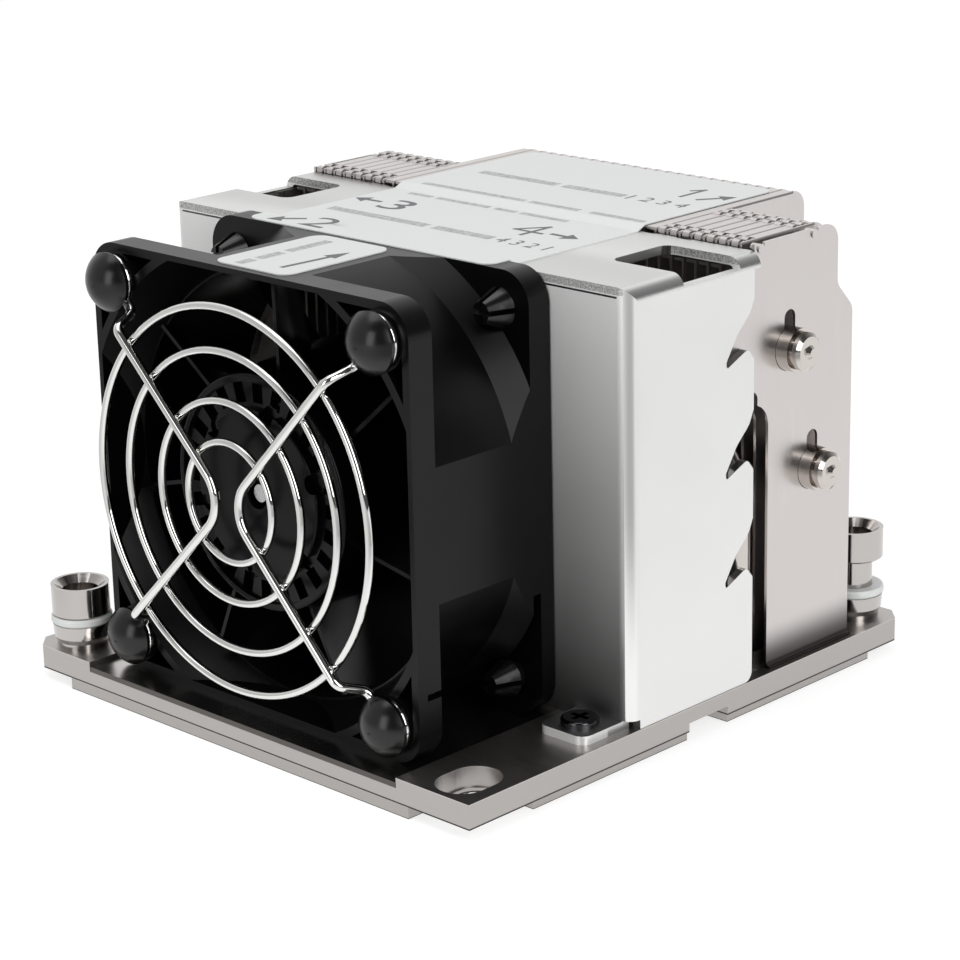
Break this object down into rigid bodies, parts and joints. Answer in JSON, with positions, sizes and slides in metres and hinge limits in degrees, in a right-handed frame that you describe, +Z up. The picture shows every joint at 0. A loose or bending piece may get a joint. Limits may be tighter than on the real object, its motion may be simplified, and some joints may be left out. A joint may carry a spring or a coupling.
{
  "type": "active server cpu cooler with 60 mm fan",
  "caption": "Low server processor cooler: base plate with captive nuts, heat pipes through a fin stack, folded sheet shroud and an axial fan with wire guard.",
  "frame": {"origin": "middle of the flat contact face under the base", "axes": "+Z up from the contact face, +Y with the air flow from the fan to the fins, +X to the right seen from the fan"},
  "size_m": [0.0885, 0.0895, 0.0645],
  "materials": {
    "copper_plate": "milled copper, nickel-free, fine straight lay",
    "milled_aluminium": "machined, satin",
    "shelf_steel": "bright rolled sheet",
    "fin_aluminium": "bright mill finish",
    "pipe_copper": "nickel plated copper, satin",
    "shroud_sheet": "satin sheet",
    "black_screw": "black zinc",
    "black_plastic": "fine moulded matt",
    "bearing_steel": "ground",
    "green_board": "solder mask",
    "core_steel": "stacked laminations",
    "winding_copper": "enamelled wire",
    "magnet_dark": "bonded ferrite",
    "guard_wire": "bright nickel plated wire",
    "nut_steel": "nickel plated, turned",
    "white_nylon": "natural nylon",
    "label_white": "matt printed film"
  },
  "bodies": {
    "cooler": {"base_plate": "milled_aluminium", "cold_plate": "copper_plate", "fan_shelf": "shelf_steel", "heat_spreader": "milled_aluminium", "fins_centre": "fin_aluminium", "fins_left": "fin_aluminium", "fins_right": "fin_aluminium", "end_fin_left": "fin_aluminium", "end_fin_right": "fin_aluminium", "heat_pipe_a": "pipe_copper", "heat_pipe_b": "pipe_copper", "heat_pipe_c": "pipe_copper", "shroud": "shroud_sheet", "foot_screws": "black_screw", "fan_housing": "black_plastic", "bearing_front": "bearing_steel", "bearing_rear": "bearing_steel", "motor_board": "green_board", "stator_core": "core_steel", "stator_coils": "winding_copper", "front_rivets": "black_plastic", "rear_rivets": "black_plastic", "finger_guard": "guard_wire", "nut_collars": "nut_steel", "nut_washers": "white_nylon", "top_label": "label_white", "fan_label": "label_white"},
    "rotor": {"impeller": "black_plastic", "rotor_yoke": "core_steel", "rotor_magnet": "magnet_dark", "fan_shaft": "bearing_steel", "shaft_clip": "bearing_steel"},
    "ring_1": {"nut_ring_1": "bearing_steel"},
    "nut_1": {"captive_nut_1": "nut_steel"},
    "ring_2": {"nut_ring_2": "bearing_steel"},
    "nut_2": {"captive_nut_2": "nut_steel"},
    "ring_3": {"nut_ring_3": "bearing_steel"},
    "nut_3": {"captive_nut_3": "nut_steel"},
    "ring_4": {"nut_ring_4": "bearing_steel"},
    "nut_4": {"captive_nut_4": "nut_steel"}
  },
  "joints": [
    {"name": "rotor_spin", "type": "hinge", "parent": "cooler", "child": "rotor", "pos_m": [0, -0.03, 0.03435], "axis": [0, 1, 0], "continuous": true},
    {"name": "nut_1_lift", "type": "slide", "parent": "cooler", "child": "ring_1", "axis": [0, 0, 1], "range_m": [-0.0041, 0]},
    {"name": "nut_1_turn", "type": "hinge", "parent": "ring_1", "child": "nut_1", "pos_m": [0.0373, 0.0399, 0.006], "axis": [0, 0, 1], "continuous": true},
    {"name": "nut_2_lift", "type": "slide", "parent": "cooler", "child": "ring_2", "axis": [0, 0, 1], "range_m": [0, 0.0041]},
    {"name": "nut_2_turn", "type": "hinge", "parent": "ring_2", "child": "nut_2", "pos_m": [-0.0373, -0.0399, 0.006], "axis": [0, 0, 1], "continuous": true},
    {"name": "nut_3_lift", "type": "slide", "parent": "cooler", "child": "ring_3", "axis": [0, 0, 1], "range_m": [0, 0.0041]},
    {"name": "nut_3_turn", "type": "hinge", "parent": "ring_3", "child": "nut_3", "pos_m": [-0.0373, 0.00195, 0.006], "axis": [0, 0, 1], "continuous": true},
    {"name": "nut_4_lift", "type": "slide", "parent": "cooler", "child": "ring_4", "axis": [0, 0, 1], "range_m": [0, 0.0041]},
    {"name": "nut_4_turn", "type": "hinge", "parent": "ring_4", "child": "nut_4", "pos_m": [0.0373, 0.00195, 0.006], "axis": [0, 0, 1], "continuous": true}
  ]
}
